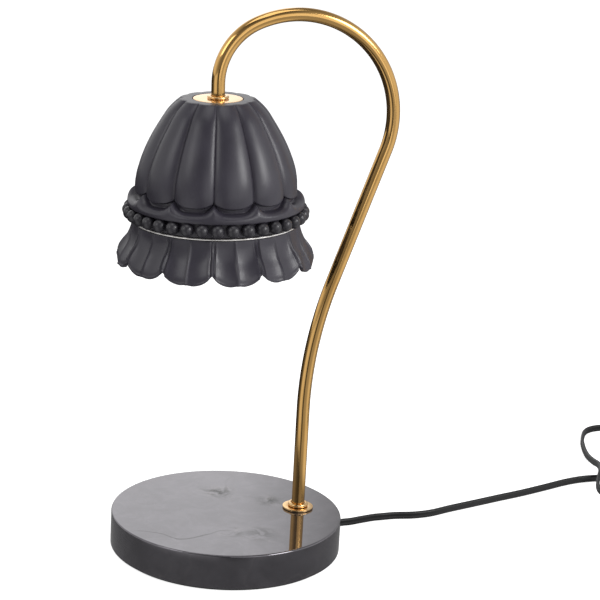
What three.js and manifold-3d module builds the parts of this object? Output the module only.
// Candle warmer lamp: a round stone base, a bent brass neck and a flower shaped shade that hangs mouth down
// over the place of the candle, with a mirror lamp bulb inside. A flat cord with a dimmer and a plug leaves
// the base beside the neck.
// Millimetres, +Z up. The origin is the centre of the base's underside, and the foot of the neck is on +X.

import * as THREE from "three";
import { mergeVertices } from "three/addons/utils/BufferGeometryUtils.js";
import Module from "manifold-3d";

const wasm = await Module();
wasm.setup();

// Gaps and overruns
const SEAT_GAP = 0.3; // between two pieces that rest on or in each other
const RUNNING_GAP = 0.4; // round a piece that turns
const OVERRUN = 1; // how far a cut runs past the face that it opens

// Base
const BASE_RADIUS = 70;
const STONE_HEIGHT = 21;
const STONE_ARRIS = 0.9;
const PAD_HEIGHT = 1.5;
const PAD_INSET = 3;
const POCKET_DEPTH = 14;
const POCKET_MARGIN = 3.9; // round the washer and the terminal block
const TERMINAL_LENGTH = 12;
const TERMINAL_WIDTH = 14;
const TERMINAL_HEIGHT = 7;
const TERMINAL_PITCH = 7;
const TERMINAL_GAP = 2.2; // from the washer
const TERMINAL_SCREW_RADIUS = 1.5;
const TERMINAL_SCREW_LENGTH = 4;

// Neck: one round tube, bent in one plane
const TUBE_RADIUS = 4;
const TUBE_WALL = 1;
const FOOT_INSET = 24.8; // from the rim of the base
const FOOT_RISE = 62.8; // straight above the stone
const FIRST_BEND_RADIUS = 246.2;
const FIRST_BEND_DEG = 19.27;
const SLANT_LENGTH = 85.2;
const ARCH_DEG = 133.1;
const DROP_RADIUS = 37.5;
const DROP_LENGTH = 8.5; // straight above the shade
const HEAD_OFFSET = 16.16; // the shade's top from the base's axis, away from the foot
const HEAD_LEAN_DEG = 1.44; // the shade's top leans away from the foot
const THREAD_LENGTH = 11; // tube below the top of the shade
const TUBE_STUB = 2.3; // tube below the nut in the pocket

// Brass and steel round the tube's ends
const FLANGE_RADIUS = 9.35;
const FLANGE_HEIGHT = 1.1;
const FOOT_COLLAR_RADIUS = 6.1;
const FOOT_COLLAR_HEIGHT = 2;
const WASHER_RADIUS = 9;
const WASHER_HEIGHT = 1.2;
const NUT_RADIUS = 7.5;
const NUT_HEIGHT = 3;
const NECK_COLLAR_RADIUS = 6.3;
const NECK_COLLAR_HEIGHT = 1.3;
const COLLAR_EDGE_SHARE = 0.6; // of a collar's height
const CAP_RADIUS = 14.5;
const CAP_HEIGHT = 1.2;

// Shade: twelve lobes over a saucer rim, a ring of beads, and a flared skirt of twelve petals
const LOBES = 12;
const LOBE_FULLNESS_POWER = 2.4;
const SHADE_TOP_RADIUS = 19.4;
const SHADE_WALL = 2.4;
const CROWN_PLATE = 3;
const DOME_RADIUS = 47.9;
const DOME_DROP = 51;
const LOBE_GROOVE = 3;
const LOBE_TIP = 3.7; // below the dome's widest place
const LOBE_SCALLOP = 3.4;
const LOBE_LIP = 1.6;
const LIP_GAP_SHARE = 0.7; // of the lip's thickness
const RIM_REACH = 3.9; // past the dome
const RIM_FALL = 2.3; // below the lobes' tips
const RIM_HEIGHT = 4.8;
const BAND_INSET = 3.8; // from the rim
const BEADS = 36;
const BEAD_RADIUS = 3.9;
const BEAD_LAND = 0.7; // of the band over and under the beads
const BEAD_STAND = 2.9; // from the band to the beads' middle
const BEAD_START_DEG = -2;
const SPIGOT_INSET = 1.8; // from the band
const SPIGOT_LENGTH = 4;
const SEAM_REACH = 0.9; // past the band
const SEAM_HEIGHT = 0.9;
const SKIRT_FLARE = 8.7;
const SKIRT_HEIGHT = 24.7;
const SKIRT_SCALLOP = 6.8;
const SKIRT_DIP = 0.9;
const SKIRT_WALL = 2.2;
const FLUTE_DEPTH = 1.1;
const RIB_HEIGHT = 0.5;

// Lampholder and bulb
const BRACKET_CLEAR = 2; // to the shade's wall
const BRACKET_EDGE = 0.7; // of the sheet beside the tube's hole
const BRACKET_SHEET = 1.5;
const BRACKET_DROP = 12;
const BRACKET_TAB = 8;
const HOLDER_HEIGHT = 14;
const HOLDER_EAR = 3.5; // of the lampholder past each screw
const HOLDER_SIDE_WALL = 0.8; // round the pins' chamber
const HOLDER_SCREW_INSET = 4.5; // from the bracket's ends
const SMALL_SCREW_RADIUS = 1.2;
const SMALL_SCREW_HEAD_RADIUS = 2.3;
const SMALL_SCREW_HEAD_HEIGHT = 1.4;
const PIN_PITCH = 10;
const PIN_RADIUS = 1.2;
const PIN_HEAD_RADIUS = 2.4;
const PIN_HEAD_HEIGHT = 1.8;
const PIN_PLAY = 0.9; // of its head over the lampholder's face wall
const PIN_SINK = 2; // into the bulb's base
const LOCK_TURN_DEG = 22;
const HOLDER_FACE_WALL = 3;
const BULB_BASE_RADIUS = 11.5;
const BULB_BASE_HEIGHT = 17;
const BULB_RADIUS = 25;
const BULB_LENGTH = 50;
const BULB_WALL = 1.3;
const LENS_HEIGHT = 1.5;
const CAPSULE_RADIUS = 4.5;
const CAPSULE_LENGTH = 21;

// Leads and cord: the cord is a flat twin
const LEAD_RADIUS = 1.6;
const CORD_WIDTH = 4.8;
const CORD_THICKNESS = 2.5;
const CORD_EXIT_DEG = 8;
const CORD_CLEAR = 0.2; // under the cord where it lies on what the lamp stands on
const BUSHING_RADIUS = 4.2;
const BUSHING_FLANGE_RADIUS = 6;
const BUSHING_FLANGE_HEIGHT = 1.2;
const BUSHING_NOSE_RADIUS = 3;
const BUSHING_NOSE = 3.4;
const BUSHING_INNER_LENGTH = 15;
const BUSHING_CLEAR = 0.6; // under its flange

// Dimmer
const DIMMER_X = 324;
const DIMMER_Y = 27.5;
const DIMMER_LENGTH = 56;
const DIMMER_WIDTH = 26;
const DIMMER_HALF_HEIGHT = 8.3;
const DIMMER_WALL = 2;
const DIMMER_EDGE = 1;
const DIMMER_BOSS_RADIUS = 3.4;
const DIMMER_BOSS_GAP = 0.4; // to the strain relief
const RELIEF_NECK_RADIUS = 4;
const RELIEF_TIP_RADIUS = 2.9;
const RELIEF_LENGTH = 8;
const RELIEF_NECK = 5;
const DIAL_RADIUS = 9.5;
const DIAL_HEIGHT = 4.6;
const DIAL_FLAT = 0.6;
const DIAL_RIBS = 24;
const STEM_RADIUS = 2.6;
const POT_SIDE = 12;
const POT_HEIGHT = 6;
const BOARD_HEIGHT = 1.2;
const BOARD_END_GAP = 0.8; // to the bosses
const BOARD_SIDE_GAP = 2; // to the case

// Hank, its tie and the plug
const HANK_BACK = 16; // its middle from the dimmer's, towards the base
const HANK_ASIDE = 51.5; // its middle from the dimmer's, across
const HANK_RUN = 60;
const HANK_FOLD_RADIUS = 14.6;
const HANK_STEP_GAP = 1.5; // between turns side by side
const HANK_LAYER_GAP = 0.6; // between turns on each other
const HANK_TURNS = 3.25;
const HANK_WAIST_GAP = 1.2; // from the hank's middle to the inmost run at the tie
const TIE_LIFT = 1.4;
const TIE_WIDTH = 5;
const TIE_THICKNESS = 0.8;
const TIE_GAP = 0.7;
const PLUG_LENGTH = 28;
const PLUG_WIDTH = 23;
const PLUG_TAIL_WIDTH = 11;
const PLUG_HEIGHT = 14;
const PLUG_EDGE = 1.6;
const PLUG_RELIEF_LENGTH = 20;
const PLUG_RELIEF_RADIUS = 4.4;
const PLUG_GAP = 2.2; // between the hank and the plug beside it
const BLADE_LENGTH = 17.5;
const BLADE_WIDTH = 6.4;
const BLADE_THICKNESS = 1.5;
const BLADE_PITCH = 12.7;
const BLADE_SINK = 4;

// Facets
const LARGE_SIDES = 48;
const ROUND_SIDES = 24;
const HOLLOW_SIDES = 36;
const SMALL_SIDES = 10;
const TUBE_SIDES = 12;
const BORE_SIDES = 8;
const TUBE_STEPS = 46;
const LEAD_STEPS = 34;
const WIRE_SIDES = 6;
const CORD_SIDES = 8;
const CORD_STEPS = 48;
const LOBE_COLUMNS = 6;
const PETAL_COLUMNS = 8;
const FULL_TURN = 2 * Math.PI;
const QUARTER_TURN = Math.PI / 2;

// Materials, as the finish of each piece looks
function finish(color, roughness, metalness) {
  return new THREE.MeshStandardMaterial({ color, roughness, metalness });
}
const STONE = finish(0x2b2a2e, 0.12, 0);
const FOAM = finish(0x1d1d1f, 0.95, 0);
const SATIN_BRASS = finish(0xc08a3e, 0.32, 1);
const BRIGHT_BRASS = finish(0xe0b070, 0.18, 1);
const STEEL = finish(0xb9bcc0, 0.35, 1);
const SHADE_BLACK = finish(0x3e3d42, 0.5, 0);
const CERAMIC = finish(0xe9e6de, 0.6, 0);
const MIRROR = finish(0xd8d8dc, 0.1, 1);
const GLASS = finish(0xeef2f4, 0.05, 0);
const CORD_BLACK = finish(0x222226, 0.5, 0);
const PLASTIC_BLACK = finish(0x1c1c1f, 0.45, 0);
const BOARD_GREEN = finish(0x24543a, 0.6, 0);

// Solids: a geometry becomes a closed solid for a cut or a join, and comes back as a geometry
function solidOf(geometry) {
  const bare = geometry.clone();
  for (const name of Object.keys(bare.attributes)) {
    if (name !== "position") bare.deleteAttribute(name);
  }
  const merged = mergeVertices(bare);
  const triVerts = new Uint32Array(merged.index.array);
  return new wasm.Manifold(
    new wasm.Mesh({ numProp: 3, vertProperties: merged.attributes.position.array, triVerts }),
  );
}

function geometryOf(solid) {
  const mesh = solid.getMesh();
  const geometry = new THREE.BufferGeometry();
  geometry.setAttribute("position", new THREE.BufferAttribute(new Float32Array(mesh.vertProperties), 3));
  geometry.setIndex(new THREE.BufferAttribute(new Uint32Array(mesh.triVerts), 1));
  return geometry;
}

function join(...geometries) {
  const [first, ...others] = geometries.map(solidOf);
  return geometryOf(others.reduce((whole, solid) => whole.add(solid), first));
}

function cut(geometry, ...tools) {
  return geometryOf(tools.reduce((left, tool) => left.subtract(solidOf(tool)), solidOf(geometry)));
}

// A body turned round Z from a profile of [radius, height] points that starts and ends on the axis or closes
function turned(profile, sides) {
  const area = profile.reduce((sum, [r, z], i) => {
    const [nextR, nextZ] = profile[(i + 1) % profile.length];
    return sum + r * nextZ - nextR * z;
  }, 0);
  const ordered = area > 0 ? profile : [...profile].reverse();
  const points = ordered.map(([r, z]) => new THREE.Vector2(r, z));
  return new THREE.LatheGeometry(points, sides).rotateX(QUARTER_TURN);
}

function disc(radius, low, high, sides = ROUND_SIDES) {
  return turned([[0, low], [radius, low], [radius, high], [0, high]], sides);
}

// A small round post, or the tool for a small round hole, that stands at a place
function post(x, y, radius, low, high) {
  return disc(radius, low, high, SMALL_SIDES).translate(x, y, 0);
}

function ringOf(inner, outer, low, high, sides = ROUND_SIDES) {
  return turned([[inner, low], [outer, low], [outer, high], [inner, high], [inner, low]], sides);
}

// A flat washer or collar with its upper outer edge rounded by edge
function roundedRing(inner, outer, low, high, edge) {
  const corner = [0, 1, 2].map((k) => {
    const angle = (k / 2) * QUARTER_TURN;
    return [outer - edge + edge * Math.cos(angle), high - edge + edge * Math.sin(angle)];
  });
  return turned([[inner, low], [outer, low], ...corner, [inner, high], [inner, low]], ROUND_SIDES);
}

function block(length, width, low, high, x = 0, y = 0) {
  return new THREE.BoxGeometry(length, width, high - low).translate(x, y, (low + high) / 2);
}

function prism(outline, low, high) {
  const shape = new THREE.Shape(outline.map(([x, y]) => new THREE.Vector2(x, y)));
  return new THREE.ExtrudeGeometry(shape, { depth: high - low, bevelEnabled: false }).translate(0, 0, low);
}

// A closed outline with half round ends, or rounded corners where the radius is under half the width
function roundedOutline(length, width, radius, steps = 4) {
  const outline = [];
  const cornerX = length / 2 - radius;
  const cornerY = width / 2 - radius;
  for (let corner = 0; corner < 4; corner++) {
    const sideX = corner === 0 || corner === 3 ? 1 : -1;
    const sideY = corner < 2 ? 1 : -1;
    for (let k = 0; k <= steps; k++) {
      const angle = (corner + k / steps) * QUARTER_TURN;
      outline.push([sideX * cornerX + radius * Math.cos(angle), sideY * cornerY + radius * Math.sin(angle)]);
    }
  }
  return outline;
}

function roundSection(radius, sides) {
  return Array.from({ length: sides }, (_, k) => {
    const angle = ((k + 1 / 2) / sides) * FULL_TURN;
    return new THREE.Vector2(radius * Math.cos(angle), radius * Math.sin(angle));
  });
}

// A round rod or tube along a curve
function along(curve, radius, sides, steps, bore = 0) {
  const shape = new THREE.Shape(roundSection(radius, sides));
  if (bore > 0) shape.holes.push(new THREE.Path(roundSection(bore, BORE_SIDES).reverse()));
  return new THREE.ExtrudeGeometry(shape, { steps, bevelEnabled: false, extrudePath: curve });
}

// A closed shell from a loop of rings: each ring gives its radius and its drop below the top at a turn, which
// goes from 0 to 1 round the axis
function ringedShell(columns, rings) {
  const positions = [];
  for (const ring of rings) {
    for (let column = 0; column < columns; column++) {
      const turn = column / columns;
      const [radius, drop] = ring(turn);
      positions.push(radius * Math.cos(turn * FULL_TURN), radius * Math.sin(turn * FULL_TURN), -drop);
    }
  }
  const corners = [];
  for (let k = 0; k < rings.length; k++) {
    const here = k * columns;
    const next = ((k + 1) % rings.length) * columns;
    for (let column = 0; column < columns; column++) {
      const beside = (column + 1) % columns;
      corners.push(here + column, next + column, next + beside);
      corners.push(here + column, next + beside, here + beside);
    }
  }
  const shell = new THREE.BufferGeometry();
  shell.setAttribute("position", new THREE.Float32BufferAttribute(positions, 3));
  shell.setIndex(corners);
  return shell;
}

const lamp = new THREE.Group();
lamp.name = "candle_warmer_lamp";

function place(group, name, geometry, material) {
  const mesh = new THREE.Mesh(geometry, material);
  mesh.name = name;
  group.add(mesh);
}

// Heights of the base
const STONE_LOW = PAD_HEIGHT + SEAT_GAP;
const STONE_TOP = STONE_LOW + STONE_HEIGHT;
const POCKET_CEILING = STONE_LOW + POCKET_DEPTH;

// Places on the base: the neck's foot, the terminal block beside it and the pocket round both
const FOOT_X = BASE_RADIUS - FOOT_INSET;
const TERMINAL_X = FOOT_X - WASHER_RADIUS - TERMINAL_GAP - TERMINAL_LENGTH / 2;
const POCKET_INNER_X = TERMINAL_X - TERMINAL_LENGTH / 2 - POCKET_MARGIN;
const POCKET_OUTER_X = FOOT_X + WASHER_RADIUS + POCKET_MARGIN;
const POCKET_X = (POCKET_INNER_X + POCKET_OUTER_X) / 2;
const POCKET_RADIUS = (POCKET_OUTER_X - POCKET_INNER_X) / 2;
const CORD_EXIT = (CORD_EXIT_DEG / 360) * FULL_TURN;
const CORD_EXIT_RISE = BUSHING_FLANGE_RADIUS + BUSHING_CLEAR;
const BUSHING_FACE = BASE_RADIUS + SEAT_GAP;

// A body made along +Z from a point on the base's axis is laid along the cord's way out
function laidAlongExit(geometry) {
  return geometry.rotateY(QUARTER_TURN).translate(0, 0, CORD_EXIT_RISE).rotateZ(CORD_EXIT);
}

// The stone: a hole for the tube, a pocket underneath and a hole from the pocket to the rim
place(
  lamp,
  "base_stone",
  cut(
    turned(
      [
        [0, STONE_LOW],
        [BASE_RADIUS - STONE_ARRIS / 2, STONE_LOW],
        [BASE_RADIUS, STONE_LOW + STONE_ARRIS / 2],
        [BASE_RADIUS, STONE_TOP - STONE_ARRIS],
        [BASE_RADIUS - STONE_ARRIS, STONE_TOP],
        [0, STONE_TOP],
      ],
      LARGE_SIDES,
    ),
    disc(POCKET_RADIUS, STONE_LOW - OVERRUN, POCKET_CEILING).translate(POCKET_X, 0, 0),
    disc(TUBE_RADIUS + SEAT_GAP, STONE_LOW, STONE_TOP + OVERRUN).translate(FOOT_X, 0, 0),
    laidAlongExit(disc(BUSHING_RADIUS + SEAT_GAP, POCKET_X, BASE_RADIUS + OVERRUN, SMALL_SIDES)),
  ),
  STONE,
);
place(lamp, "base_pad", disc(BASE_RADIUS - PAD_INSET, 0, PAD_HEIGHT, LARGE_SIDES), FOAM);

// Flange and collar on the stone, washer and nut in the pocket
const FLANGE_LOW = STONE_TOP + SEAT_GAP;
const FOOT_COLLAR_LOW = FLANGE_LOW + FLANGE_HEIGHT + SEAT_GAP;
const TUBE_HOLE = TUBE_RADIUS + SEAT_GAP;
place(
  lamp,
  "pole_flange",
  roundedRing(TUBE_HOLE, FLANGE_RADIUS, FLANGE_LOW, FLANGE_LOW + FLANGE_HEIGHT, FLANGE_HEIGHT / 2).translate(
    FOOT_X,
    0,
    0,
  ),
  BRIGHT_BRASS,
);
place(
  lamp,
  "pole_collar",
  roundedRing(
    TUBE_HOLE,
    FOOT_COLLAR_RADIUS,
    FOOT_COLLAR_LOW,
    FOOT_COLLAR_LOW + FOOT_COLLAR_HEIGHT,
    FOOT_COLLAR_HEIGHT * COLLAR_EDGE_SHARE,
  ).translate(FOOT_X, 0, 0),
  BRIGHT_BRASS,
);
const WASHER_HIGH = POCKET_CEILING - SEAT_GAP;
const POCKET_NUT_HIGH = WASHER_HIGH - WASHER_HEIGHT - SEAT_GAP;
const POCKET_NUT_LOW = POCKET_NUT_HIGH - NUT_HEIGHT;
place(
  lamp,
  "pole_washer",
  ringOf(TUBE_HOLE, WASHER_RADIUS, WASHER_HIGH - WASHER_HEIGHT, WASHER_HIGH).translate(FOOT_X, 0, 0),
  STEEL,
);

function hexNut(low, high) {
  return cut(disc(NUT_RADIUS, low, high, 6), disc(TUBE_HOLE, low - OVERRUN, high + OVERRUN, ROUND_SIDES));
}
place(lamp, "pole_nut", hexNut(POCKET_NUT_LOW, POCKET_NUT_HIGH).translate(FOOT_X, 0, 0), STEEL);

// Terminal block on the pad, with its two screws driven from below
const TERMINAL_LOW = PAD_HEIGHT + SEAT_GAP;
const TERMINAL_SIDES = [-1, 1].map((side) => (side * TERMINAL_PITCH) / 2);
const TERMINAL_HOLE = TERMINAL_SCREW_RADIUS + SEAT_GAP;
const TERMINAL_SCREW_HIGH = TERMINAL_LOW + TERMINAL_SCREW_LENGTH;
place(
  lamp,
  "terminal_block",
  cut(
    block(TERMINAL_LENGTH, TERMINAL_WIDTH, TERMINAL_LOW, TERMINAL_LOW + TERMINAL_HEIGHT, TERMINAL_X),
    ...TERMINAL_SIDES.map((y) =>
      post(TERMINAL_X, y, TERMINAL_HOLE, TERMINAL_LOW - OVERRUN, TERMINAL_SCREW_HIGH + SEAT_GAP),
    ),
  ),
  CERAMIC,
);
TERMINAL_SIDES.forEach((y, k) => {
  const driven = post(TERMINAL_X, y, TERMINAL_SCREW_RADIUS, TERMINAL_LOW, TERMINAL_SCREW_HIGH);
  place(lamp, `terminal_screw_${k + 1}`, driven, STEEL);
});

// Bushing: a tapered strain relief that is pushed into the hole in the rim
const BUSHING_TIP = BUSHING_FACE + BUSHING_FLANGE_HEIGHT + BUSHING_NOSE;
const BUSHING_INNER = BUSHING_FACE - BUSHING_INNER_LENGTH;
place(
  lamp,
  "cord_bushing",
  laidAlongExit(
    turned(
      [
        [0, BUSHING_INNER],
        [BUSHING_NOSE_RADIUS, BUSHING_INNER],
        [BUSHING_RADIUS, BUSHING_INNER + BUSHING_NOSE],
        [BUSHING_RADIUS, BUSHING_FACE],
        [BUSHING_FLANGE_RADIUS, BUSHING_FACE],
        [BUSHING_FLANGE_RADIUS, BUSHING_FACE + BUSHING_FLANGE_HEIGHT],
        [BUSHING_RADIUS, BUSHING_FACE + BUSHING_FLANGE_HEIGHT],
        [BUSHING_NOSE_RADIUS, BUSHING_TIP],
        [0, BUSHING_TIP],
      ],
      SMALL_SIDES,
    ),
  ),
  PLASTIC_BLACK,
);

function onExit(reach) {
  return new THREE.Vector3(reach * Math.cos(CORD_EXIT), reach * Math.sin(CORD_EXIT), CORD_EXIT_RISE);
}

// Inner end of the cord, from the bushing to the terminal block
const TERMINAL_FACE = TERMINAL_X + TERMINAL_LENGTH / 2 + SEAT_GAP;
const TERMINAL_MIDDLE = TERMINAL_LOW + TERMINAL_HEIGHT / 2;
const INNER_START = onExit(BUSHING_INNER - SEAT_GAP);
const INNER_END = new THREE.Vector3(TERMINAL_FACE, TERMINAL_SIDES[1], TERMINAL_MIDDLE);
place(
  lamp,
  "cord_inner",
  along(
    new THREE.CubicBezierCurve3(
      INNER_START,
      onExit(BUSHING_INNER - SEAT_GAP - 3 * LEAD_RADIUS),
      INNER_END.clone().add(new THREE.Vector3(3 * LEAD_RADIUS, 0, 0)),
      INNER_END,
    ),
    LEAD_RADIUS,
    WIRE_SIDES,
    8,
  ),
  CORD_BLACK,
);

// A step in the plane of the neck
function inNeckPlane(angle, length) {
  return new THREE.Vector3(Math.cos(angle), 0, Math.sin(angle)).multiplyScalar(length);
}

// The neck's centre line in its own plane: straight pieces and arcs, each starting where the last one ended
class NeckArc extends THREE.Curve {
  constructor(centre, radius, startAngle, sweep) {
    super();
    this.centre = centre;
    this.radius = radius;
    this.startAngle = startAngle;
    this.sweep = sweep;
  }
  getPoint(t) {
    const angle = this.startAngle + t * this.sweep;
    return inNeckPlane(angle, this.radius).add(this.centre);
  }
}

function radians(degrees) {
  return (degrees / 360) * FULL_TURN;
}

// Headings along the neck, from +X, and the arch's radius, which closes the way across to the head
const HEAD_LEAN = radians(HEAD_LEAN_DEG);
const SLANT_HEADING = QUARTER_TURN - radians(FIRST_BEND_DEG);
const SHOULDER_HEADING = SLANT_HEADING + radians(ARCH_DEG);
const HEAD_HEADING = 3 * QUARTER_TURN + HEAD_LEAN;
const ACROSS_BESIDE_ARCH =
  FIRST_BEND_RADIUS * (1 - Math.sin(SLANT_HEADING)) +
  SLANT_LENGTH * Math.cos(SLANT_HEADING) +
  DROP_RADIUS * (Math.sin(HEAD_HEADING) - Math.sin(SHOULDER_HEADING)) +
  DROP_LENGTH * Math.cos(HEAD_HEADING);
const ARCH_RADIUS =
  (FOOT_X + HEAD_OFFSET + ACROSS_BESIDE_ARCH) / (Math.sin(SLANT_HEADING) - Math.sin(SHOULDER_HEADING));
const TUBE_LOW = POCKET_NUT_LOW - TUBE_STUB;

// The pieces of the neck from startHeight on the foot to past the shade's top by pastTop, and the shade's top
function neckLine(startHeight, pastTop) {
  const path = new THREE.CurvePath();
  let point = new THREE.Vector3(FOOT_X, 0, startHeight);
  let heading = QUARTER_TURN;
  function straight(length) {
    const end = point.clone().add(inNeckPlane(heading, length));
    path.add(new THREE.LineCurve3(point, end));
    point = end;
  }
  function bend(radius, sweep) {
    const side = Math.sign(sweep);
    const centre = point.clone().add(inNeckPlane(heading + QUARTER_TURN, side * radius));
    const arc = new NeckArc(centre, radius, heading - side * QUARTER_TURN, sweep);
    path.add(arc);
    point = arc.getPoint(1);
    heading += sweep;
  }
  straight(STONE_TOP + FOOT_RISE - startHeight);
  bend(FIRST_BEND_RADIUS, SLANT_HEADING - QUARTER_TURN);
  straight(SLANT_LENGTH);
  bend(ARCH_RADIUS, SHOULDER_HEADING - SLANT_HEADING);
  bend(DROP_RADIUS, HEAD_HEADING - SHOULDER_HEADING);
  straight(DROP_LENGTH);
  const top = point.clone();
  straight(pastTop);
  return { path, top };
}

const neck = neckLine(TUBE_LOW, THREAD_LENGTH);
place(
  lamp,
  "gooseneck_tube",
  along(neck.path, TUBE_RADIUS, TUBE_SIDES, TUBE_STEPS, TUBE_RADIUS - TUBE_WALL),
  SATIN_BRASS,
);

// Everything on the head is made on the tube's own axis, with the shade's top at height zero
const head = new THREE.Group();
head.position.copy(neck.top);
head.rotation.y = -HEAD_LEAN;
lamp.add(head);

// Heights on the head, downwards from the shade's top
const RECESS_DROP = CAP_HEIGHT + SEAT_GAP;
const PLATE_DROP = RECESS_DROP + CROWN_PLATE;
const BRACKET_TOP = -PLATE_DROP - SEAT_GAP;
const NECK_NUT_HIGH = BRACKET_TOP - BRACKET_SHEET - SEAT_GAP;
const BRACKET_LOW = BRACKET_TOP - BRACKET_DROP;
const HOLDER_TOP = BRACKET_LOW - SEAT_GAP;
const HOLDER_LOW = HOLDER_TOP - HOLDER_HEIGHT;
const BULB_TOP = HOLDER_LOW - SEAT_GAP;
const BULB_LOW = BULB_TOP - BULB_LENGTH;

// The lead runs inside the tube from the lampholder down to the terminal block
const leadLine = neckLine(TUBE_LOW, -HOLDER_TOP - SEAT_GAP);
const LEAD_FOOT = new THREE.Vector3(FOOT_X, 0, TUBE_LOW);
const LEAD_END = new THREE.Vector3(TERMINAL_FACE, TERMINAL_SIDES[0], TERMINAL_MIDDLE);
place(
  lamp,
  "lamp_lead",
  join(
    along(leadLine.path, LEAD_RADIUS, WIRE_SIDES, LEAD_STEPS),
    along(
      new THREE.CubicBezierCurve3(
        LEAD_FOOT.clone().add(new THREE.Vector3(0, 0, TUBE_WALL)),
        LEAD_FOOT.clone().sub(new THREE.Vector3(0, 0, 3 * LEAD_RADIUS)),
        LEAD_END.clone().add(new THREE.Vector3(4 * LEAD_RADIUS, 0, 0)),
        LEAD_END,
      ),
      LEAD_RADIUS,
      WIRE_SIDES,
      10,
    ),
  ),
  CORD_BLACK,
);

// Collar and cap over the shade
place(
  head,
  "neck_collar",
  roundedRing(
    TUBE_HOLE,
    NECK_COLLAR_RADIUS,
    SEAT_GAP,
    SEAT_GAP + NECK_COLLAR_HEIGHT,
    NECK_COLLAR_HEIGHT * COLLAR_EDGE_SHARE,
  ),
  BRIGHT_BRASS,
);
place(head, "shade_cap", ringOf(TUBE_HOLE, CAP_RADIUS, -CAP_HEIGHT, 0), BRIGHT_BRASS);

// How full a lobe is at a turn: 1 along its middle, 0 in the groove beside it
function lobeFullness(turn) {
  const phase = turn * LOBES - Math.round(turn * LOBES);
  return 1 - Math.abs(2 * phase) ** LOBE_FULLNESS_POWER;
}

// Drops below the shade's top, and radii, from the dome down to the seam
const TIP_DROP = DOME_DROP + LOBE_TIP;
const RIM_DROP = TIP_DROP + RIM_FALL;
const RIM_FOOT_DROP = RIM_DROP + RIM_HEIGHT;
const BAND_FOOT_DROP = RIM_FOOT_DROP + 2 * (BEAD_RADIUS + BEAD_LAND);
const BEAD_DROP = (RIM_FOOT_DROP + BAND_FOOT_DROP) / 2;
const RIM_RADIUS = DOME_RADIUS + RIM_REACH;
const BAND_RADIUS = RIM_RADIUS - BAND_INSET;
const BEAD_RING_RADIUS = BAND_RADIUS + BEAD_STAND;
const SPIGOT_RADIUS = BAND_RADIUS - SPIGOT_INSET;
const SEAM_RADIUS = BAND_RADIUS + SEAM_REACH;

// Crown rings. The dome's shares follow from its top edge to its widest place.
const DOME_SHARES = [
  [0, 0, 0.2],
  [0.1, 0.015, 0.45],
  [0.2, 0.05, 0.55],
  [0.37, 0.16, 0.7],
  [0.57, 0.33, 0.88],
  [0.78, 0.55, 1],
  [0.94, 0.8, 1],
  [1, 1, 1],
];
function lobed(radius, drop, groove) {
  return (turn) => [radius - groove * (1 - lobeFullness(turn)), drop];
}
const domeRings = DOME_SHARES.map(([outShare, dropShare, grooveShare]) =>
  lobed(
    SHADE_TOP_RADIUS + (DOME_RADIUS - SHADE_TOP_RADIUS) * outShare,
    DOME_DROP * dropShare,
    LOBE_GROOVE * grooveShare,
  ),
);
function tipDrop(turn) {
  return TIP_DROP - LOBE_SCALLOP * (1 - lobeFullness(turn));
}
const LIP_GAP = LOBE_LIP * LIP_GAP_SHARE;
function lipGroove(turn) {
  return (LOBE_GROOVE - LOBE_LIP) * (1 - lobeFullness(turn));
}
const lipRings = [
  (turn) => [DOME_RADIUS - LOBE_GROOVE * (1 - lobeFullness(turn)), tipDrop(turn)],
  (turn) => [DOME_RADIUS - LOBE_LIP - lipGroove(turn), tipDrop(turn) + LIP_GAP / 2],
  (turn) => [(DOME_RADIUS + RIM_RADIUS - LOBE_LIP) / 2, tipDrop(turn) + LIP_GAP],
];
const RIM_EDGE = (RIM_RADIUS - BAND_RADIUS) / 3;
const rimRings = [
  [RIM_RADIUS, RIM_DROP],
  [RIM_RADIUS, RIM_FOOT_DROP - RIM_EDGE],
  [RIM_RADIUS - RIM_EDGE, RIM_FOOT_DROP],
  [BAND_RADIUS, RIM_FOOT_DROP],
  [BAND_RADIUS, BAND_FOOT_DROP],
  [SPIGOT_RADIUS, BAND_FOOT_DROP],
  [SPIGOT_RADIUS, BAND_FOOT_DROP + SPIGOT_LENGTH],
];
const axisRings = [
  [0, BAND_FOOT_DROP + SPIGOT_LENGTH],
  [0, 0],
];
const plain = (ring) => () => ring;
const crownBody = ringedShell(LOBES * LOBE_COLUMNS, [
  ...domeRings,
  ...lipRings,
  ...rimRings.map(plain),
  ...axisRings.map(plain),
]);
// The hollow keeps the wall to the grooves, from the mouth up to the plate
const INNER_SHARES = [
  [0.57, 0.33],
  [0.78, 0.55],
  [1, 1],
];
const hollow = turned(
  [
    [0, -PLATE_DROP],
    [SHADE_TOP_RADIUS - SHADE_WALL, -PLATE_DROP],
    ...INNER_SHARES.map(([outShare, dropShare]) => [
      SHADE_TOP_RADIUS + (DOME_RADIUS - SHADE_TOP_RADIUS) * outShare - LOBE_GROOVE - SHADE_WALL,
      -DOME_DROP * dropShare,
    ]),
    [SPIGOT_RADIUS - SHADE_WALL, -BAND_FOOT_DROP],
    [SPIGOT_RADIUS - SHADE_WALL, -BAND_FOOT_DROP - SPIGOT_LENGTH - OVERRUN],
    [0, -BAND_FOOT_DROP - SPIGOT_LENGTH - OVERRUN],
  ],
  HOLLOW_SIDES,
);
const beads = Array.from({ length: BEADS }, (_, k) =>
  new THREE.SphereGeometry(BEAD_RADIUS, 8, 4)
    .rotateZ(QUARTER_TURN)
    .translate(BEAD_RING_RADIUS, 0, -BEAD_DROP)
    .rotateZ(radians(BEAD_START_DEG) + (k / BEADS) * FULL_TURN),
);
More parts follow.
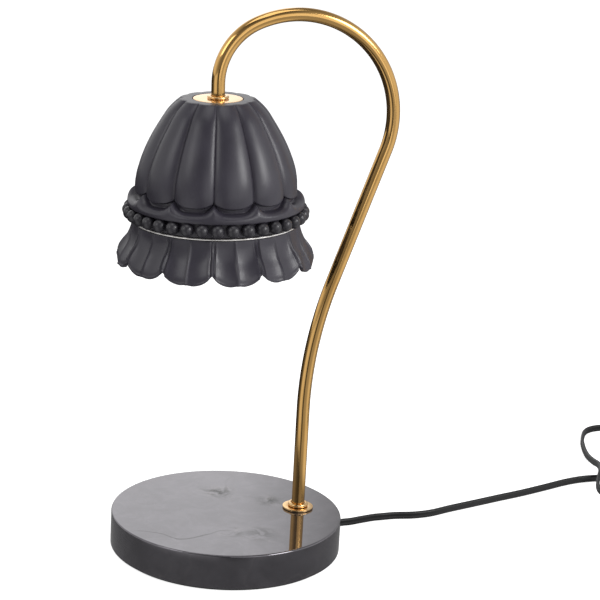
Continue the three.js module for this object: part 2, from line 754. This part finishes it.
place(
  head,
  "shade_crown",
  cut(
    join(crownBody, ...beads),
    hollow,
    disc(TUBE_HOLE, -PLATE_DROP - OVERRUN, OVERRUN),
    disc(CAP_RADIUS + SEAT_GAP, -RECESS_DROP, OVERRUN),
  ),
  SHADE_BLACK,
);

// Bright ring in the seam between crown and skirt
const SEAM_DROP = BAND_FOOT_DROP + SEAT_GAP;
const SKIRT_TOP_DROP = SEAM_DROP + SEAM_HEIGHT + SEAT_GAP;
const SKIRT_TIP_DROP = SKIRT_TOP_DROP + SKIRT_HEIGHT;
const SEAM_HOLE = SPIGOT_RADIUS + SEAT_GAP;
const seamRing = ringOf(SEAM_HOLE, SEAM_RADIUS, -SEAM_DROP - SEAM_HEIGHT, -SEAM_DROP, LARGE_SIDES);
place(head, "seam_ring", seamRing, MIRROR);

// Skirt: each petal has two shallow flutes beside a middle ridge, ribs along its sides and a scalloped hem
function petalPhase(turn) {
  return Math.abs(2 * (turn * LOBES - Math.round(turn * LOBES)));
}
const FLUTE_MIDDLE_SHARE = 0.375;
const RIB_MIDDLE_SHARE = 0.75;
function petalRelief(turn) {
  const phase = petalPhase(turn);
  if (phase <= RIB_MIDDLE_SHARE) {
    const across = phase / RIB_MIDDLE_SHARE;
    return RIB_HEIGHT - FLUTE_DEPTH * Math.sin(across * Math.PI);
  }
  const across = (phase - RIB_MIDDLE_SHARE) / (1 - RIB_MIDDLE_SHARE);
  return RIB_HEIGHT - (RIB_HEIGHT + FLUTE_DEPTH) * across;
}
function hemDrop(turn) {
  const phase = petalPhase(turn);
  const rise = SKIRT_SCALLOP * Math.max(0, (phase - FLUTE_MIDDLE_SHARE) / (1 - FLUTE_MIDDLE_SHARE)) ** 2;
  const dip = SKIRT_DIP * Math.max(0, 1 - phase / FLUTE_MIDDLE_SHARE) ** 2;
  return SKIRT_TIP_DROP - rise - dip;
}
// Shares of the way down the skirt, of its flare, and of the relief there
const SKIRT_SHARES = [
  [0, 0, 0.3],
  [0.2, 0.1, 0.8],
  [0.45, 0.33, 1],
  [0.7, 0.76, 1],
  [0.88, 0.98, 1],
  [1, 1, 0.8],
];
function skirtRing([downShare, flareShare, reliefShare], inset) {
  const flared = SEAM_RADIUS + SKIRT_FLARE * flareShare - inset;
  return (turn) => [
    flared + petalRelief(turn) * reliefShare,
    SKIRT_TOP_DROP + (hemDrop(turn) - SKIRT_TOP_DROP) * downShare,
  ];
}
const skirtInside = [SKIRT_SHARES[5], SKIRT_SHARES[3], SKIRT_SHARES[1]];
place(
  head,
  "shade_skirt",
  ringedShell(LOBES * PETAL_COLUMNS, [
    ...SKIRT_SHARES.map((share) => skirtRing(share, 0)),
    ...skirtInside.map((share) => skirtRing(share, SKIRT_WALL)),
    plain([SEAM_HOLE, SKIRT_TOP_DROP]),
  ]),
  SHADE_BLACK,
);

// Nut, bracket and lampholder inside the shade
place(head, "neck_nut", hexNut(NECK_NUT_HIGH - NUT_HEIGHT, NECK_NUT_HIGH), STEEL);

const BRACKET_WIDTH = 2 * (TUBE_HOLE + BRACKET_EDGE);
function inSpan(outline, width) {
  return prism(outline, -width / 2, width / 2).rotateX(QUARTER_TURN);
}
const SPAN_HALF = SHADE_TOP_RADIUS - SHADE_WALL - BRACKET_CLEAR;
const SPAN_INNER = SPAN_HALF - BRACKET_SHEET;
const TAB_END = SPAN_HALF - BRACKET_TAB;
const HOLDER_SCREW_X = SPAN_HALF - HOLDER_SCREW_INSET;
const HOLDER_SCREW_SIDES = [-HOLDER_SCREW_X, HOLDER_SCREW_X];
const SMALL_SCREW_HOLE = SMALL_SCREW_RADIUS + SEAT_GAP;
const SMALL_HEAD_HOLE = SMALL_SCREW_HEAD_RADIUS + SEAT_GAP;
place(
  head,
  "holder_bracket",
  cut(
    inSpan(
      [
        [-SPAN_HALF, BRACKET_TOP],
        [-SPAN_HALF, BRACKET_LOW],
        [-TAB_END, BRACKET_LOW],
        [-TAB_END, BRACKET_LOW + BRACKET_SHEET],
        [-SPAN_INNER, BRACKET_LOW + BRACKET_SHEET],
        [-SPAN_INNER, BRACKET_TOP - BRACKET_SHEET],
        [SPAN_INNER, BRACKET_TOP - BRACKET_SHEET],
        [SPAN_INNER, BRACKET_LOW + BRACKET_SHEET],
        [TAB_END, BRACKET_LOW + BRACKET_SHEET],
        [TAB_END, BRACKET_LOW],
        [SPAN_HALF, BRACKET_LOW],
        [SPAN_HALF, BRACKET_TOP],
      ],
      BRACKET_WIDTH,
    ),
    disc(TUBE_HOLE, BRACKET_TOP - BRACKET_SHEET - OVERRUN, BRACKET_TOP + OVERRUN),
    ...HOLDER_SCREW_SIDES.map((x) =>
      post(x, 0, SMALL_SCREW_HOLE, BRACKET_LOW - OVERRUN, BRACKET_LOW + BRACKET_SHEET + OVERRUN),
    ),
  ),
  STEEL,
);

// Each pin's arc shaped slot runs from its locked place to the round entry, under a ring shaped chamber
const PIN_SIDES = [-1, 1].map((side) => (side * PIN_PITCH) / 2);
const SLOT_REACH = PIN_RADIUS + RUNNING_GAP;
const CHAMBER_REACH = PIN_HEAD_RADIUS + 2 * RUNNING_GAP;
const CHAMBER_LOW = HOLDER_LOW + HOLDER_FACE_WALL;
const PIN_HIGH = CHAMBER_LOW + PIN_PLAY + PIN_HEAD_HEIGHT;
const LOCK_TURN = radians(LOCK_TURN_DEG);
const SLOT_STEPS = 3;
function pinSlot(side) {
  const low = HOLDER_LOW - OVERRUN;
  const high = CHAMBER_LOW + SEAT_GAP;
  const slot = Array.from({ length: SLOT_STEPS + 1 }, (_, k) =>
    post(0, side, SLOT_REACH, low, high).rotateZ((-k / SLOT_STEPS) * LOCK_TURN),
  );
  return [...slot, post(0, side, PIN_HEAD_RADIUS + RUNNING_GAP, low, high).rotateZ(-LOCK_TURN)];
}
const CHAMBER_INNER = PIN_PITCH / 2 - CHAMBER_REACH;
const CHAMBER_OUTER = PIN_PITCH / 2 + CHAMBER_REACH;
const CHAMBER_HIGH = PIN_HIGH + RUNNING_GAP;
const HOLDER_LENGTH = 2 * (HOLDER_SCREW_X + HOLDER_EAR);
const HOLDER_WIDTH = 2 * (CHAMBER_OUTER + HOLDER_SIDE_WALL);
const HOLDER_HEAD_SEAT = HOLDER_LOW + SMALL_SCREW_HEAD_HEIGHT + SEAT_GAP;
place(
  head,
  "lampholder",
  cut(
    prism(roundedOutline(HOLDER_LENGTH, HOLDER_WIDTH, HOLDER_WIDTH / 4, 3), HOLDER_LOW, HOLDER_TOP),
    ringOf(CHAMBER_INNER, CHAMBER_OUTER, CHAMBER_LOW, CHAMBER_HIGH),
    ...PIN_SIDES.flatMap(pinSlot),
    ...HOLDER_SCREW_SIDES.flatMap((x) => [
      post(x, 0, SMALL_SCREW_HOLE, HOLDER_LOW - OVERRUN, HOLDER_TOP + OVERRUN),
      post(x, 0, SMALL_HEAD_HOLE, HOLDER_LOW - OVERRUN, HOLDER_HEAD_SEAT),
    ]),
  ),
  CERAMIC,
);

// A screw driven upwards: its head is at the bottom
function screw(low, high) {
  return turned(
    [
      [0, low],
      [SMALL_SCREW_HEAD_RADIUS, low],
      [SMALL_SCREW_HEAD_RADIUS, low + SMALL_SCREW_HEAD_HEIGHT],
      [SMALL_SCREW_RADIUS, low + SMALL_SCREW_HEAD_HEIGHT],
      [SMALL_SCREW_RADIUS, high],
      [0, high],
    ],
    SMALL_SIDES,
  );
}
HOLDER_SCREW_SIDES.forEach((x, k) => {
  const driven = screw(HOLDER_LOW, BRACKET_LOW + BRACKET_SHEET);
  place(head, `holder_screw_${k + 1}`, driven.translate(x, 0, 0), STEEL);
});

// Bulb: ceramic base, two headed pins, mirror cup, front glass and the capsule in its middle
const BULB_BASE_LOW = BULB_TOP - BULB_BASE_HEIGHT;
const REFLECTOR_HOLE = BULB_BASE_RADIUS + SEAT_GAP;
const REFLECTOR_TOP = BULB_BASE_LOW + BULB_BASE_HEIGHT / 3;
const REFLECTOR_DEPTH = REFLECTOR_TOP - BULB_LOW;
const PIN_HOLE = PIN_RADIUS + SEAT_GAP;
place(
  head,
  "bulb_base",
  cut(
    turned(
      [
        [0, BULB_BASE_LOW],
        [BULB_BASE_RADIUS, BULB_BASE_LOW],
        [BULB_BASE_RADIUS, BULB_TOP - BULB_WALL],
        [BULB_BASE_RADIUS - BULB_WALL, BULB_TOP],
        [0, BULB_TOP],
      ],
      ROUND_SIDES,
    ),
    ...PIN_SIDES.map((y) => post(0, y, PIN_HOLE, BULB_TOP - PIN_SINK - SEAT_GAP, BULB_TOP + OVERRUN)),
  ),
  CERAMIC,
);
PIN_SIDES.forEach((y, k) => {
  const pin = turned(
    [
      [0, BULB_TOP - PIN_SINK],
      [PIN_RADIUS, BULB_TOP - PIN_SINK],
      [PIN_RADIUS, PIN_HIGH - PIN_HEAD_HEIGHT],
      [PIN_HEAD_RADIUS, PIN_HIGH - PIN_HEAD_HEIGHT],
      [PIN_HEAD_RADIUS, PIN_HIGH],
      [0, PIN_HIGH],
    ],
    SMALL_SIDES,
  );
  place(head, `bulb_pin_${k + 1}`, pin.translate(0, y, 0), STEEL);
});
// The cup widens from the base to the front as a parabola does: fast first, then steadily
const CUP_SHARES = [0, 0.15, 0.5, 0.92];
const cupOutside = CUP_SHARES.map((share) => [
  REFLECTOR_HOLE + BULB_WALL + (BULB_RADIUS - REFLECTOR_HOLE - BULB_WALL) * Math.sqrt(share),
  REFLECTOR_TOP - REFLECTOR_DEPTH * share,
]);
const LENS_SEAT = BULB_LOW + LENS_HEIGHT + SEAT_GAP;
place(
  head,
  "bulb_reflector",
  turned(
    [
      ...cupOutside,
      [BULB_RADIUS, BULB_LOW],
      [BULB_RADIUS - BULB_WALL, BULB_LOW],
      [BULB_RADIUS - BULB_WALL, LENS_SEAT],
      ...[...cupOutside.slice(1, -1)].reverse().map(([r, z]) => [r - BULB_WALL, z]),
      [REFLECTOR_HOLE, REFLECTOR_TOP],
      cupOutside[0],
    ],
    ROUND_SIDES,
  ),
  MIRROR,
);
place(
  head,
  "bulb_lens",
  disc(BULB_RADIUS - BULB_WALL - SEAT_GAP, BULB_LOW, BULB_LOW + LENS_HEIGHT),
  GLASS,
);
const CAPSULE_HIGH = BULB_BASE_LOW - SEAT_GAP;
place(
  head,
  "bulb_capsule",
  turned(
    [
      [0, CAPSULE_HIGH - CAPSULE_LENGTH],
      [CAPSULE_RADIUS / 2, CAPSULE_HIGH - CAPSULE_LENGTH + CAPSULE_RADIUS / 5],
      [CAPSULE_RADIUS, CAPSULE_HIGH - CAPSULE_LENGTH + CAPSULE_RADIUS],
      [CAPSULE_RADIUS, CAPSULE_HIGH],
      [0, CAPSULE_HIGH],
    ],
    SMALL_SIDES,
  ),
  GLASS,
);

// Free cord from the bushing to the dimmer. The list gives points that the cord follows on its way.
const DIMMER_SPLIT = DIMMER_HALF_HEIGHT;
const DIMMER_END = DIMMER_LENGTH / 2;
const RELIEF_REACH = DIMMER_END + RELIEF_LENGTH;
const LEAD_ROUTE = [
  [84.3, 12.9, 6.1],
  [90, 16.1, 5.4],
  [96.6, 20.1, 4.4],
  [103, 23.7, 3.5],
  [109.3, 25.9, 2.8],
  [117.5, 27, 2.6],
  [130.8, 26.1, 2.6],
  [142.1, 27.7, 2.6],
  [157.6, 33.6, 2.6],
  [176.5, 40.2, 2.6],
  [195.8, 47.1, 2.6],
  [215, 53.7, 2.6],
  [234, 61.2, 2.6],
  [253, 69, 2.6],
  [266, 72.5, 2.6],
  [279, 73.2, 2.6],
  [294, 72.8, 2.6],
  [309, 74.4, 2.6],
  [323, 79.6, 2.6],
  [334.5, 88.6, 2.6],
  [342.3, 101, 2.6],
  [346.3, 115.5, 2.6],
  [347.1, 130.5, 2.6],
  [344.8, 144.5, 2.6],
  [341.5, 155.1, 2.6],
  [335.6, 164.1, 2.6],
  [330, 168.1, 2.6],
  [323.2, 169.9, 2.6],
  [316.3, 169.3, 2.6],
  [310, 166.4, 2.6],
  [305.1, 161.5, 2.6],
  [300.8, 154.2, 2.6],
  [295.9, 143.8, 2.6],
  [291.5, 130.5, 2.6],
  [288.7, 119.5, 2.7],
  [286.5, 108.5, 3.6],
  [284.9, 97, 5.2],
  [283.3, 85.3, 7.3],
  [279.8, 74.2, 8.1],
  [275.2, 65.4, 7.3],
  [271, 57.4, 6.1],
  [268.2, 49.6, 5.2],
  [267.6, 43.2, 5],
  [269.4, 37.1, 5.6],
  [273.3, 32, 6.6],
  [278.7, 28.7, 7.8],
];
const leadRoute = new THREE.CatmullRomCurve3(
  [
    onExit(BUSHING_TIP + SEAT_GAP).toArray(),
    onExit(BUSHING_TIP + SEAT_GAP + CORD_WIDTH).toArray(),
    ...LEAD_ROUTE,
    [DIMMER_X - RELIEF_REACH - CORD_WIDTH, DIMMER_Y, DIMMER_SPLIT],
    [DIMMER_X - RELIEF_REACH - SEAT_GAP, DIMMER_Y, DIMMER_SPLIT],
  ].map(([x, y, z]) => new THREE.Vector3(x, y, z)),
  false,
  "centripetal",
);
place(lamp, "cord_lead", along(leadRoute, CORD_WIDTH / 2, CORD_SIDES, CORD_STEPS), CORD_BLACK);

// Dimmer: two half shells, held by two screws from below, with a board, a potentiometer and a dial
const dimmer = new THREE.Group();
dimmer.position.set(DIMMER_X, DIMMER_Y, 0);
lamp.add(dimmer);
const DIMMER_TOP = 2 * DIMMER_HALF_HEIGHT;
const caseOutline = roundedOutline(DIMMER_LENGTH, DIMMER_WIDTH, DIMMER_WIDTH / 2 - DIMMER_EDGE);
const cavityOutline = roundedOutline(
  DIMMER_LENGTH - 2 * DIMMER_WALL,
  DIMMER_WIDTH - 2 * DIMMER_WALL,
  DIMMER_WIDTH / 2 - DIMMER_EDGE - DIMMER_WALL,
);
const reliefHole = disc(RELIEF_NECK_RADIUS + SEAT_GAP, -RELIEF_REACH, RELIEF_REACH, SMALL_SIDES)
  .rotateY(QUARTER_TURN)
  .translate(0, 0, DIMMER_SPLIT);
const DIMMER_SCREW_X = DIMMER_END - RELIEF_NECK - DIMMER_BOSS_GAP - DIMMER_BOSS_RADIUS;
const bossPlaces = [-DIMMER_SCREW_X, DIMMER_SCREW_X];
const SHELL_JOINT = SEAT_GAP / 2;
const HEAD_POCKET = DIMMER_WALL + SMALL_SCREW_HEAD_HEIGHT;
const BOSS_SEAT = HEAD_POCKET + DIMMER_WALL;
const bottomShell = cut(
  prism(caseOutline, 0, DIMMER_SPLIT - SHELL_JOINT),
  prism(cavityOutline, DIMMER_WALL, DIMMER_SPLIT + OVERRUN),
  reliefHole,
);
place(
  dimmer,
  "dimmer_bottom",
  cut(
    join(bottomShell, ...bossPlaces.map((x) => post(x, 0, DIMMER_BOSS_RADIUS, 0, BOSS_SEAT))),
    ...bossPlaces.map((x) => post(x, 0, SMALL_SCREW_HOLE, -OVERRUN, BOSS_SEAT + OVERRUN)),
    ...bossPlaces.map((x) => post(x, 0, SMALL_HEAD_HOLE, -OVERRUN, HEAD_POCKET)),
  ),
  PLASTIC_BLACK,
);
const BOSS_LOW = BOSS_SEAT + SEAT_GAP;
const BOSS_HIGH = DIMMER_TOP - DIMMER_WALL / 2;
const BOSS_HOLE_HIGH = DIMMER_SPLIT + DIMMER_HALF_HEIGHT / 2;
const topShell = cut(
  prism(caseOutline, DIMMER_SPLIT + SHELL_JOINT, DIMMER_TOP),
  prism(cavityOutline, DIMMER_SPLIT - OVERRUN, DIMMER_TOP - DIMMER_WALL),
  reliefHole,
);
place(
  dimmer,
  "dimmer_top",
  cut(
    join(topShell, ...bossPlaces.map((x) => post(x, 0, DIMMER_BOSS_RADIUS, BOSS_LOW, BOSS_HIGH))),
    ...bossPlaces.map((x) => post(x, 0, SMALL_SCREW_HOLE, BOSS_SEAT, BOSS_HOLE_HIGH)),
    post(0, 0, STEM_RADIUS + RUNNING_GAP, DIMMER_TOP - DIMMER_WALL - OVERRUN, DIMMER_TOP + OVERRUN),
  ),
  PLASTIC_BLACK,
);
bossPlaces.forEach((x, k) => {
  const driven = screw(HEAD_POCKET - SMALL_SCREW_HEAD_HEIGHT - SEAT_GAP, BOSS_HOLE_HIGH - SEAT_GAP);
  place(dimmer, `dimmer_screw_${k + 1}`, driven.translate(x, 0, 0), STEEL);
});
const BOARD_LOW = DIMMER_WALL + SEAT_GAP;
const POT_LOW = BOARD_LOW + BOARD_HEIGHT + SEAT_GAP;
const POT_HIGH = POT_LOW + POT_HEIGHT;
const BOARD_LENGTH = 2 * (DIMMER_SCREW_X - DIMMER_BOSS_RADIUS - BOARD_END_GAP);
const BOARD_WIDTH = DIMMER_WIDTH - 2 * (DIMMER_WALL + BOARD_SIDE_GAP);
const board = block(BOARD_LENGTH, BOARD_WIDTH, BOARD_LOW, BOARD_LOW + BOARD_HEIGHT);
place(dimmer, "dimmer_board", board, BOARD_GREEN);
place(dimmer, "dimmer_pot", block(POT_SIDE, POT_SIDE, POT_LOW, POT_HIGH), STEEL);
const DIAL_LOW = DIMMER_TOP + RUNNING_GAP;
const DIAL_HIGH = DIAL_LOW + DIAL_HEIGHT;
const dialOutline = Array.from({ length: 2 * DIAL_RIBS }, (_, k) => {
  const angle = (k / (2 * DIAL_RIBS)) * FULL_TURN;
  const radius = k % 2 ? DIAL_RADIUS : DIAL_RADIUS - DIAL_FLAT;
  return [radius * Math.cos(angle), radius * Math.sin(angle)];
});
const MARK_WIDTH = DIAL_FLAT * 2;
place(
  dimmer,
  "dimmer_dial",
  cut(
    join(
      prism(dialOutline, DIAL_LOW, DIAL_HIGH),
      post(0, 0, STEM_RADIUS, POT_HIGH + SEAT_GAP, DIAL_LOW + DIAL_HEIGHT / 2),
    ),
    block(DIAL_RADIUS, MARK_WIDTH, DIAL_HIGH - DIAL_FLAT, DIAL_HIGH + OVERRUN, DIAL_RADIUS),
  ),
  PLASTIC_BLACK,
);

// Tapered strain reliefs at the dimmer's two ends, seated in the holes between the shells
function relief() {
  return turned(
    [
      [0, DIMMER_END - RELIEF_NECK],
      [RELIEF_NECK_RADIUS, DIMMER_END - RELIEF_NECK],
      [RELIEF_NECK_RADIUS, DIMMER_END + SEAT_GAP],
      [RELIEF_TIP_RADIUS, RELIEF_REACH],
      [0, RELIEF_REACH],
    ],
    SMALL_SIDES,
  ).rotateY(QUARTER_TURN);
}
place(dimmer, "dimmer_relief_out", relief().translate(0, 0, DIMMER_SPLIT), PLASTIC_BLACK);
place(dimmer, "dimmer_relief_in", relief().rotateZ(Math.PI).translate(0, 0, DIMMER_SPLIT), PLASTIC_BLACK);

// Hank: the cord leaves the dimmer, turns back, and is folded to and fro. Its loops spiral in on the lower
// layer, climb along a run, and spiral out on the upper layer. Each run is drawn in at the tie. After the
// last run the cord goes round the outside to the plug beside the hank.
const LOOP_STEPS = 24;
const ROUNDING = 1e-9;
const RUN_STEPS = LOOP_STEPS / 4;
const REVERSAL = HANK_TURNS / 2;
const CORD_REST = CORD_WIDTH / 2 + CORD_CLEAR; // height of the cord's middle where it lies
const HANK_X = DIMMER_X - HANK_BACK;
const HANK_Y = DIMMER_Y - HANK_ASIDE;
const HANK_STEP = CORD_THICKNESS + HANK_STEP_GAP;
const HANK_LAYER = CORD_WIDTH + HANK_LAYER_GAP;
const HANK_WAIST = HANK_FOLD_RADIUS - CORD_WIDTH / 2 - HANK_WAIST_GAP; // each run's way in to the tie
const RUN_HALF = HANK_RUN / 2;
const HANK_REACH = HANK_FOLD_RADIUS + HANK_STEP * REVERSAL; // radius of the outermost fold
const PLUG_Y = HANK_Y - HANK_REACH - CORD_THICKNESS / 2 - PLUG_GAP - PLUG_WIDTH / 2;
const PLUG_AXIS = PLUG_HEIGHT / 2;

// A point at an angle round a centre, at a height
function roundAbout(centreX, centreY, radius, angle, z) {
  return new THREE.Vector3(centreX + radius * Math.cos(angle), centreY + radius * Math.sin(angle), z);
}

function smooth(t) {
  const held = Math.min(1, Math.max(0, t));
  return held * held * (3 - 2 * held);
}

// A point of the hank's loops after a number of turns, counted from the near end of the far run
function loopPoint(turns) {
  const radius = HANK_FOLD_RADIUS + HANK_STEP * Math.abs(turns - REVERSAL);
  const quarters = Math.floor(turns * 4 + ROUNDING);
  const quarter = quarters % 4;
  const share = turns * 4 - quarters;
  const climb = smooth((turns - REVERSAL) * 4 + 1 / 2);
  let lengthwise = 0;
  let across = 0;
  let drawn = 0;
  if (quarter % 2 === 0) {
    const side = quarter === 0 ? 1 : -1;
    lengthwise = side * (RUN_HALF - HANK_RUN * share);
    drawn = (1 + Math.cos((lengthwise / RUN_HALF) * Math.PI)) / 2;
    across = side * (radius - HANK_WAIST * drawn);
  } else {
    const angle = (quarter === 1 ? QUARTER_TURN : -QUARTER_TURN) + share * Math.PI;
    lengthwise = (quarter === 1 ? -RUN_HALF : RUN_HALF) + radius * Math.cos(angle);
    across = radius * Math.sin(angle);
  }
  return new THREE.Vector3(
    HANK_X + lengthwise,
    HANK_Y + across,
    CORD_REST + TIE_LIFT * drawn + HANK_LAYER * climb,
  );
}

function hankRoute() {
  const route = [];
  const outletX = DIMMER_X + RELIEF_REACH + SEAT_GAP;
  const turnX = Math.max(outletX + CORD_WIDTH, HANK_X + RUN_HALF + CORD_WIDTH);
  const turnRadius = (DIMMER_Y - HANK_Y - HANK_REACH) / 2;
  const turnY = DIMMER_Y - turnRadius;
  route.push(new THREE.Vector3(outletX, DIMMER_Y, DIMMER_SPLIT));
  for (let k = 0; k <= LOOP_STEPS / 2; k++) {
    const share = k / (LOOP_STEPS / 2);
    const angle = QUARTER_TURN - share * Math.PI;
    const z = DIMMER_SPLIT + (CORD_REST - DIMMER_SPLIT) * smooth(share);
    route.push(roundAbout(turnX, turnY, turnRadius, angle, z));
  }
  const back = turnX - HANK_X - RUN_HALF;
  const backSteps = Math.max(1, Math.round(back / (HANK_RUN / RUN_STEPS)));
  for (let k = 1; k < backSteps; k++) {
    route.push(new THREE.Vector3(turnX - (back * k) / backSteps, HANK_Y + HANK_REACH, CORD_REST));
  }
  for (let k = 0; k <= HANK_TURNS * LOOP_STEPS; k++) route.push(loopPoint(k / LOOP_STEPS));
  const lastReach = HANK_REACH;
  const roundRadius = (HANK_Y + lastReach - PLUG_Y) / 2;
  const roundY = PLUG_Y + roundRadius;
  for (let k = 1; k <= LOOP_STEPS / 2; k++) {
    const share = k / (LOOP_STEPS / 2);
    const angle = QUARTER_TURN + share * Math.PI;
    const upper = CORD_REST + HANK_LAYER;
    const z = upper + (CORD_REST - upper) * smooth(2 * share - 1);
    route.push(roundAbout(HANK_X - RUN_HALF, roundY, roundRadius, angle, z));
  }
  const last = route[route.length - 1];
  route.push(new THREE.Vector3(last.x + HANK_RUN / 6, PLUG_Y, (CORD_REST + PLUG_AXIS) / 2));
  route.push(new THREE.Vector3(last.x + HANK_RUN / 3 - CORD_WIDTH, PLUG_Y, PLUG_AXIS));
  route.push(new THREE.Vector3(last.x + HANK_RUN / 3, PLUG_Y, PLUG_AXIS));
  return route;
}

// A flat cord stands on its edge along the route: six sides, its width upright
function flatCord(route) {
  const section = [
    [1, 1 / 3],
    [0, 1],
    [-1, 1 / 3],
    [-1, -1 / 3],
    [0, -1],
    [1, -1 / 3],
  ];
  const positions = [];
  route.forEach((point, k) => {
    const before = route[Math.max(0, k - 1)];
    const after = route[Math.min(route.length - 1, k + 1)];
    const heading = after.clone().sub(before).normalize();
    const side = new THREE.Vector3(-heading.y, heading.x, 0).normalize();
    const up = heading.clone().cross(side);
    for (const [sideShare, upShare] of section) {
      const corner = point
        .clone()
        .add(side.clone().multiplyScalar((sideShare * CORD_THICKNESS) / 2))
        .add(up.clone().multiplyScalar((upShare * CORD_WIDTH) / 2));
      positions.push(corner.x, corner.y, corner.z);
    }
  });
  const sides = section.length;
  const corners = [];
  for (let k = 0; k < route.length - 1; k++) {
    for (let s = 0; s < sides; s++) {
      const a = k * sides + s;
      const b = k * sides + ((s + 1) % sides);
      corners.push(a, b, a + sides, b, b + sides, a + sides);
    }
  }
  const end = (route.length - 1) * sides;
  for (let s = 1; s < sides - 1; s++) {
    corners.push(0, s + 1, s);
    corners.push(end, end + s, end + s + 1);
  }
  const cord = new THREE.BufferGeometry();
  cord.setAttribute("position", new THREE.Float32BufferAttribute(positions, 3));
  cord.setIndex(corners);
  return cord;
}

const folded = hankRoute();
place(lamp, "cord_hank", flatCord(folded), CORD_BLACK);

function routeLength(route) {
  return route.slice(1).reduce((sum, point, k) => sum + point.distanceTo(route[k]), 0);
}

// Least gap of the hank to itself: between points a quarter step apart, a half loop or more along the cord
function leastGap(route) {
  const fine = route
    .slice(1)
    .flatMap((point, k) => [0, 1, 2, 3].map((quarter) => route[k].clone().lerp(point, quarter / 4)));
  let least = Infinity;
  fine.forEach((a, i) => {
    for (let j = i + LOOP_STEPS; j < fine.length; j++) {
      const b = fine[j];
      const level = Math.max(0, Math.hypot(a.x - b.x, a.y - b.y) - CORD_THICKNESS);
      const upright = Math.max(0, Math.abs(a.z - b.z) - CORD_WIDTH);
      least = Math.min(least, Math.hypot(level, upright));
    }
  });
  return least;
}
console.log(`free cord ${leadRoute.getLength().toFixed(1)} mm, hank ${routeLength(folded).toFixed(1)} mm`);
console.log(`least gap of the hank to itself ${leastGap(folded).toFixed(2)} mm`);

// Tie: a flat band round the drawn in runs
const TIE_INNER_WIDTH = 2 * (HANK_REACH - HANK_WAIST + CORD_THICKNESS / 2 + TIE_GAP);
const TIE_INNER_LOW = CORD_REST + TIE_LIFT - CORD_WIDTH / 2 - SEAT_GAP;
const TIE_INNER_HEIGHT = HANK_LAYER + CORD_WIDTH + 2 * SEAT_GAP;
function tieOutline(grow) {
  const width = TIE_INNER_WIDTH + 2 * grow;
  const height = TIE_INNER_HEIGHT + 2 * grow;
  return roundedOutline(width, height, CORD_THICKNESS / 2 + grow, 3);
}
place(
  lamp,
  "cord_tie",
  cut(
    prism(tieOutline(TIE_THICKNESS), -TIE_WIDTH / 2, TIE_WIDTH / 2),
    prism(tieOutline(0), -TIE_WIDTH, TIE_WIDTH),
  )
    .rotateX(QUARTER_TURN)
    .rotateZ(QUARTER_TURN)
    .translate(HANK_X, HANK_Y, TIE_INNER_LOW + TIE_INNER_HEIGHT / 2),
  PLASTIC_BLACK,
);

// Plug: a flat moulded body with a tapered tail and two blades
const plug = new THREE.Group();
plug.position.set(folded[folded.length - 1].x + SEAT_GAP + PLUG_RELIEF_LENGTH, PLUG_Y, PLUG_AXIS);
lamp.add(plug);
const PLUG_FLAT = PLUG_HEIGHT - 2 * PLUG_EDGE;
const PLUG_SIDE = PLUG_WIDTH / 2 - PLUG_EDGE;
const PLUG_TAIL_SIDE = PLUG_TAIL_WIDTH / 2 - PLUG_EDGE;
const plugShape = new THREE.Shape();
plugShape.moveTo(0, -PLUG_TAIL_SIDE);
plugShape.quadraticCurveTo(PLUG_LENGTH / 4, -PLUG_SIDE, PLUG_LENGTH / 2, -PLUG_SIDE);
plugShape.lineTo(PLUG_LENGTH - PLUG_EDGE, -PLUG_SIDE);
plugShape.lineTo(PLUG_LENGTH - PLUG_EDGE, PLUG_SIDE);
plugShape.lineTo(PLUG_LENGTH / 2, PLUG_SIDE);
plugShape.quadraticCurveTo(PLUG_LENGTH / 4, PLUG_SIDE, 0, PLUG_TAIL_SIDE);
const plugMoulding = new THREE.ExtrudeGeometry(plugShape, {
  depth: PLUG_FLAT,
  bevelThickness: PLUG_EDGE,
  bevelSize: PLUG_EDGE,
  bevelSegments: 2,
  curveSegments: 4,
}).translate(0, 0, -PLUG_FLAT / 2);
const plugTail = turned(
  [
    [0, -PLUG_RELIEF_LENGTH],
    [RELIEF_TIP_RADIUS, -PLUG_RELIEF_LENGTH],
    [PLUG_RELIEF_RADIUS, 0],
    [PLUG_RELIEF_RADIUS, PLUG_EDGE],
    [0, PLUG_EDGE],
  ],
  SMALL_SIDES,
).rotateY(QUARTER_TURN);
const BLADE_ROOT = PLUG_LENGTH - BLADE_SINK;
const BLADE_SIDES = [-1, 1].map((side) => (side * BLADE_PITCH) / 2);
function blade(y, gap) {
  const length = BLADE_SINK + BLADE_LENGTH + gap;
  return new THREE.BoxGeometry(length, BLADE_THICKNESS + 2 * gap, BLADE_WIDTH + 2 * gap).translate(
    BLADE_ROOT - gap + length / 2,
    y,
    0,
  );
}
place(
  plug,
  "plug_body",
  cut(join(plugMoulding, plugTail), ...BLADE_SIDES.map((y) => blade(y, SEAT_GAP))),
  PLASTIC_BLACK,
);
BLADE_SIDES.forEach((y, k) => place(plug, `plug_blade_${k + 1}`, blade(y, 0), STEEL));

export default lamp;
